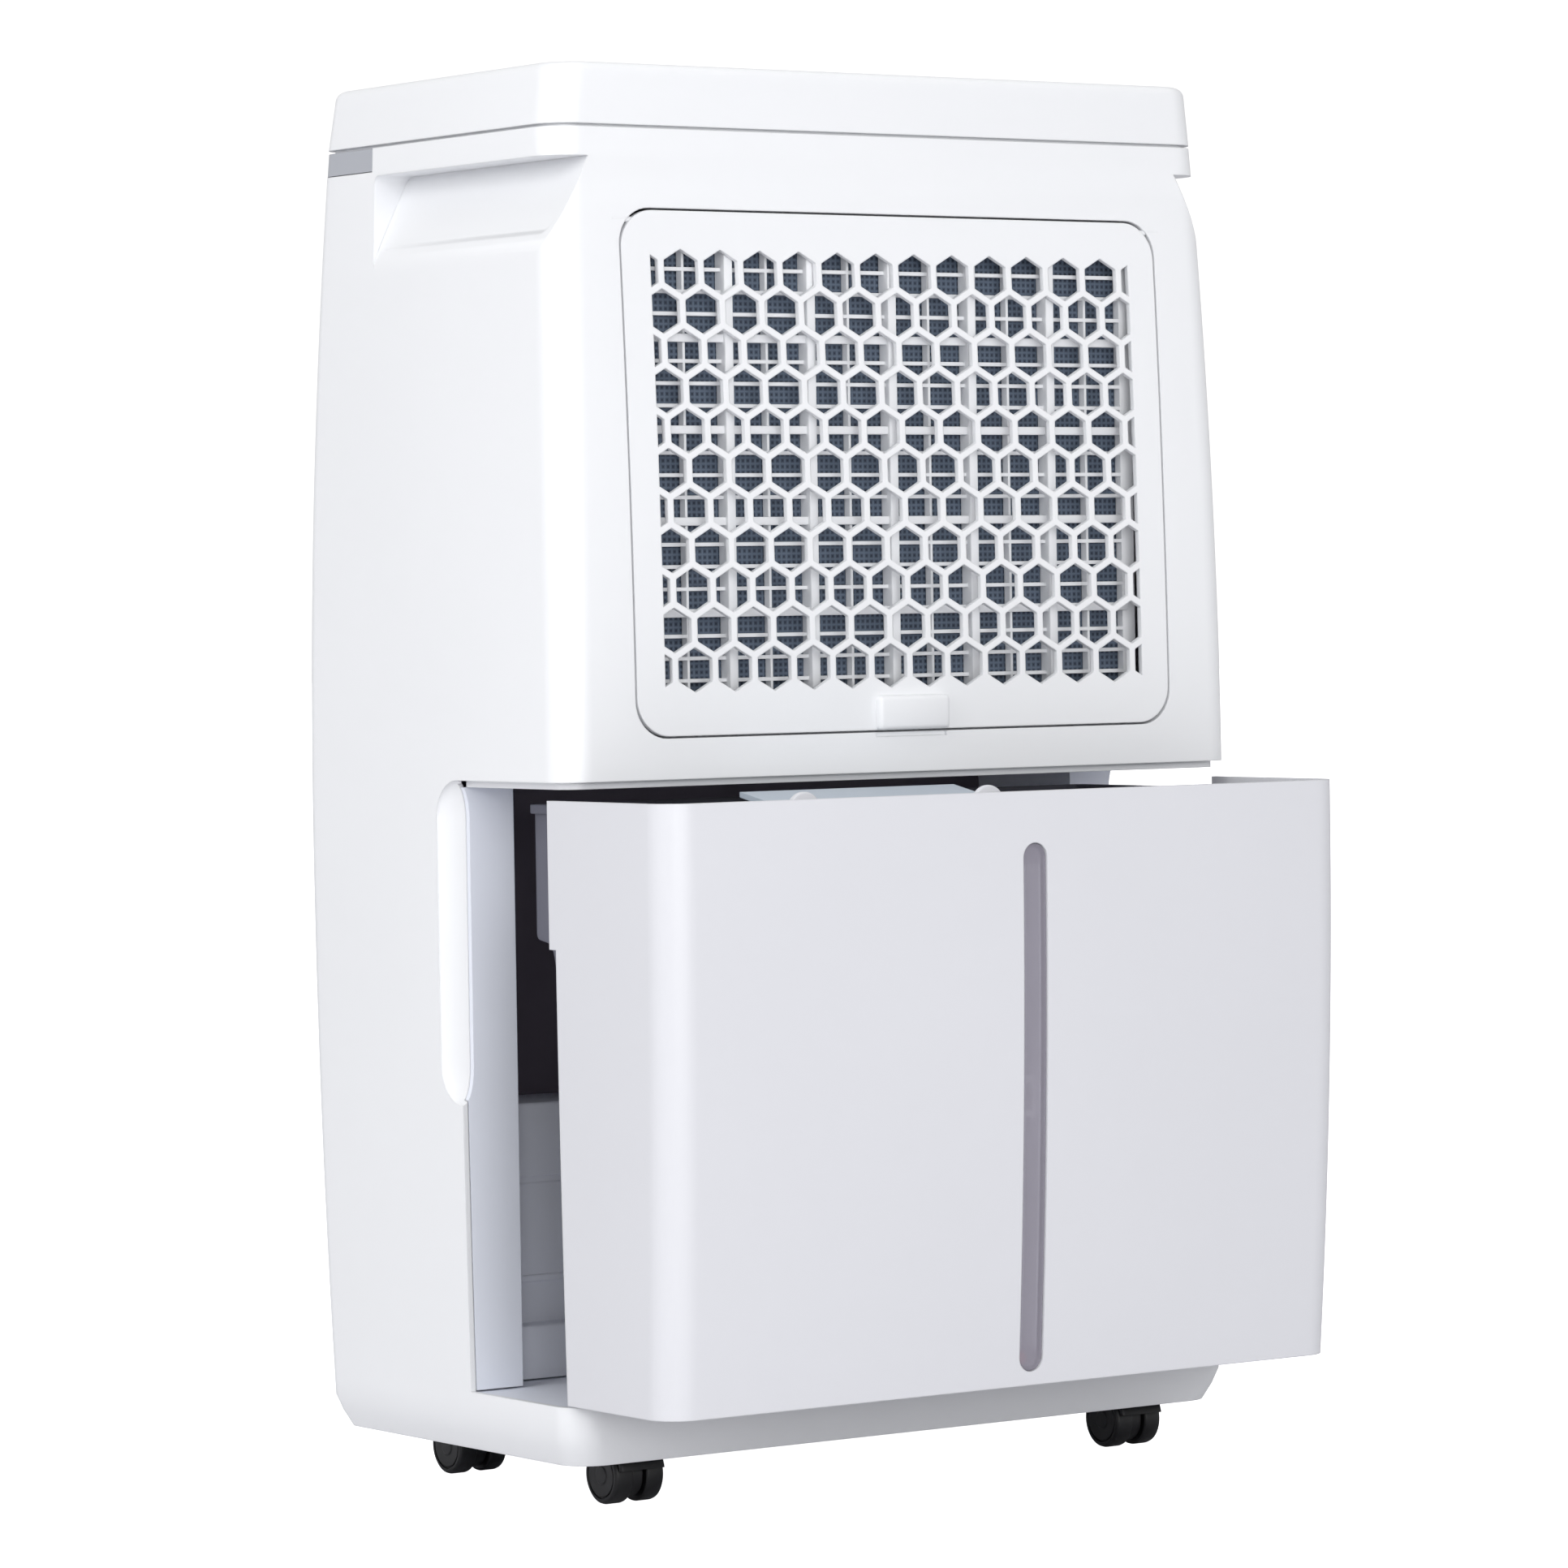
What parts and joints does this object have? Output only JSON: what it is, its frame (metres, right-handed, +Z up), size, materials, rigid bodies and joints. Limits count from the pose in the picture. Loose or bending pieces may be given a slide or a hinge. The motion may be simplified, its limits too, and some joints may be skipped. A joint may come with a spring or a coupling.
{
  "type": "dehumidifier",
  "caption": "Upright wheeled dehumidifier with a barrel-sided cabinet, honeycomb filter door, side grips, top controls and a water bucket drawn part way from its bay.",
  "frame": {"origin": "on the floor under the middle of the box round the whole object, bucket drawn", "axes": "+Z up; -Y towards the side with the filter door and the drawn bucket, +Y towards the bowed front; +X to the right as the filter door is faced"},
  "size_m": [0.363, 0.291, 0.616],
  "materials": {
    "white_shell": "satin moulded ABS",
    "grey_liner": "light grey moulded polypropylene",
    "charcoal": "dark moulded cover",
    "silver": "silver-painted plastic",
    "smoke": "smoked acrylic",
    "tank": "grey moulded polypropylene",
    "red": "red float ball",
    "black": "black moulded plastic",
    "castor_black": "black nylon",
    "filter_net": "fine woven nylon net",
    "coil_aluminium": "plain aluminium fins",
    "copper": null,
    "black_steel": "black-painted pressed steel",
    "zinc_steel": "zinc-plated pressed steel",
    "circuit_board": "green glass-fibre board"
  },
  "bodies": {
    "machine": {"cabinet": "white_shell", "front_panel": "white_shell", "top_lid": "white_shell", "drip_tray": "white_shell", "humidity_sensor": "white_shell", "drain_outlet": "white_shell", "base_pan": "grey_liner", "bay_liner": "grey_liner", "pump_housing": "grey_liner", "drain_cap": "grey_liner", "bulkhead": "charcoal", "accent_band": "silver", "exhaust_grille": "silver", "display_window": "smoke", "control_panel": "black", "bucket_switch": "black", "fan_shroud": "black", "fan_scroll": "black", "control_box": "black", "cord_inlet": "black", "evaporator": "coil_aluminium", "condenser": "coil_aluminium", "discharge_tube": "copper", "suction_tube": "copper", "filter_drier": "copper", "compressor": "black_steel", "accumulator": "black_steel", "compressor_bracket": "zinc_steel", "fan_motor": "zinc_steel", "control_board": "circuit_board"},
    "bucket": {"bucket_front": "white_shell", "bucket_tank": "tank", "window_lens": "smoke", "bucket_cover": "grey_liner"},
    "bucket_bail": {"bucket_handle": "grey_liner"},
    "float_arm": {"bucket_float": "white_shell"},
    "ball": {"level_ball": "red"},
    "door": {"filter_door": "white_shell", "air_filter": "white_shell", "filter_mesh": "filter_net"},
    "blower": {"blower_wheel": "black"},
    "key_power": {"button_power": "silver"},
    "key_mode": {"button_mode": "silver"},
    "key_fan": {"button_fan": "silver"},
    "key_humidity_up": {"button_humidity_up": "silver"},
    "key_humidity_down": {"button_humidity_down": "silver"},
    "key_timer": {"button_timer": "silver"},
    "castor_rear_left": {"castor_fork_rear_left": "castor_black"},
    "roller_rear_left_a": {"wheel_rear_left_a": "castor_black"},
    "roller_rear_left_b": {"wheel_rear_left_b": "castor_black"},
    "castor_rear_right": {"castor_fork_rear_right": "castor_black"},
    "roller_rear_right_a": {"wheel_rear_right_a": "castor_black"},
    "roller_rear_right_b": {"wheel_rear_right_b": "castor_black"},
    "castor_front_left": {"castor_fork_front_left": "castor_black"},
    "roller_front_left_a": {"wheel_front_left_a": "castor_black"},
    "roller_front_left_b": {"wheel_front_left_b": "castor_black"},
    "castor_front_right": {"castor_fork_front_right": "castor_black"},
    "roller_front_right_a": {"wheel_front_right_a": "castor_black"},
    "roller_front_right_b": {"wheel_front_right_b": "castor_black"}
  },
  "joints": [
    {"name": "bucket_slide", "type": "slide", "parent": "machine", "child": "bucket", "axis": [0, -1, 0], "range_m": [-0.076, 0.12]},
    {"name": "bail_fold", "type": "hinge", "parent": "bucket", "child": "bucket_bail", "pos_m": [0, -0.117, 0.288], "axis": [1, 0, 0], "range_deg": [0, 90]},
    {"name": "float_lift", "type": "hinge", "parent": "bucket", "child": "float_arm", "pos_m": [0.074, -0.003, 0.291], "axis": [-1, 0, 0], "range_deg": [0, 6]},
    {"name": "level_rise", "type": "slide", "parent": "bucket", "child": "ball", "axis": [0, 0, 1], "range_m": [0, 0.215]},
    {"name": "door_swing", "type": "hinge", "parent": "machine", "child": "door", "pos_m": [0, -0.06, 0.5494], "axis": [-1, 0, 0], "range_deg": [0, 50]},
    {"name": "blower_spin", "type": "hinge", "parent": "machine", "child": "blower", "pos_m": [0, 0.04, 0.4335], "axis": [0, 1, 0], "continuous": true},
    {"name": "press_power", "type": "slide", "parent": "machine", "child": "key_power", "axis": [0, 0, -1], "range_m": [0, 0.0012], "stiffness_N_per_m": 400},
    {"name": "press_mode", "type": "slide", "parent": "machine", "child": "key_mode", "axis": [0, 0, -1], "range_m": [0, 0.0012], "stiffness_N_per_m": 400},
    {"name": "press_fan", "type": "slide", "parent": "machine", "child": "key_fan", "axis": [0, 0, -1], "range_m": [0, 0.0012], "stiffness_N_per_m": 400},
    {"name": "press_humidity_up", "type": "slide", "parent": "machine", "child": "key_humidity_up", "axis": [0, 0, -1], "range_m": [0, 0.0012], "stiffness_N_per_m": 400},
    {"name": "press_humidity_down", "type": "slide", "parent": "machine", "child": "key_humidity_down", "axis": [0, 0, -1], "range_m": [0, 0.0012], "stiffness_N_per_m": 400},
    {"name": "press_timer", "type": "slide", "parent": "machine", "child": "key_timer", "axis": [0, 0, -1], "range_m": [0, 0.0012], "stiffness_N_per_m": 400},
    {"name": "swivel_rear_left", "type": "hinge", "parent": "machine", "child": "castor_rear_left", "pos_m": [-0.136, -0.03, 0.03], "axis": [0, 0, 1], "continuous": true},
    {"name": "roll_rear_left_a", "type": "hinge", "parent": "castor_rear_left", "child": "roller_rear_left_a", "pos_m": [-0.136, -0.038, 0.0125], "axis": [1, 0, 0], "continuous": true},
    {"name": "roll_rear_left_b", "type": "hinge", "parent": "castor_rear_left", "child": "roller_rear_left_b", "pos_m": [-0.136, -0.038, 0.0125], "axis": [1, 0, 0], "continuous": true},
    {"name": "swivel_rear_right", "type": "hinge", "parent": "machine", "child": "castor_rear_right", "pos_m": [0.136, -0.03, 0.03], "axis": [0, 0, 1], "continuous": true},
    {"name": "roll_rear_right_a", "type": "hinge", "parent": "castor_rear_right", "child": "roller_rear_right_a", "pos_m": [0.136, -0.038, 0.0125], "axis": [1, 0, 0], "continuous": true},
    {"name": "roll_rear_right_b", "type": "hinge", "parent": "castor_rear_right", "child": "roller_rear_right_b", "pos_m": [0.136, -0.038, 0.0125], "axis": [1, 0, 0], "continuous": true},
    {"name": "swivel_front_left", "type": "hinge", "parent": "machine", "child": "castor_front_left", "pos_m": [-0.136, 0.095, 0.03], "axis": [0, 0, 1], "continuous": true},
    {"name": "roll_front_left_a", "type": "hinge", "parent": "castor_front_left", "child": "roller_front_left_a", "pos_m": [-0.136, 0.087, 0.0125], "axis": [1, 0, 0], "continuous": true},
    {"name": "roll_front_left_b", "type": "hinge", "parent": "castor_front_left", "child": "roller_front_left_b", "pos_m": [-0.136, 0.087, 0.0125], "axis": [1, 0, 0], "continuous": true},
    {"name": "swivel_front_right", "type": "hinge", "parent": "machine", "child": "castor_front_right", "pos_m": [0.136, 0.095, 0.03], "axis": [0, 0, 1], "continuous": true},
    {"name": "roll_front_right_a", "type": "hinge", "parent": "castor_front_right", "child": "roller_front_right_a", "pos_m": [0.136, 0.087, 0.0125], "axis": [1, 0, 0], "continuous": true},
    {"name": "roll_front_right_b", "type": "hinge", "parent": "castor_front_right", "child": "roller_front_right_b", "pos_m": [0.136, 0.087, 0.0125], "axis": [1, 0, 0], "continuous": true}
  ]
}
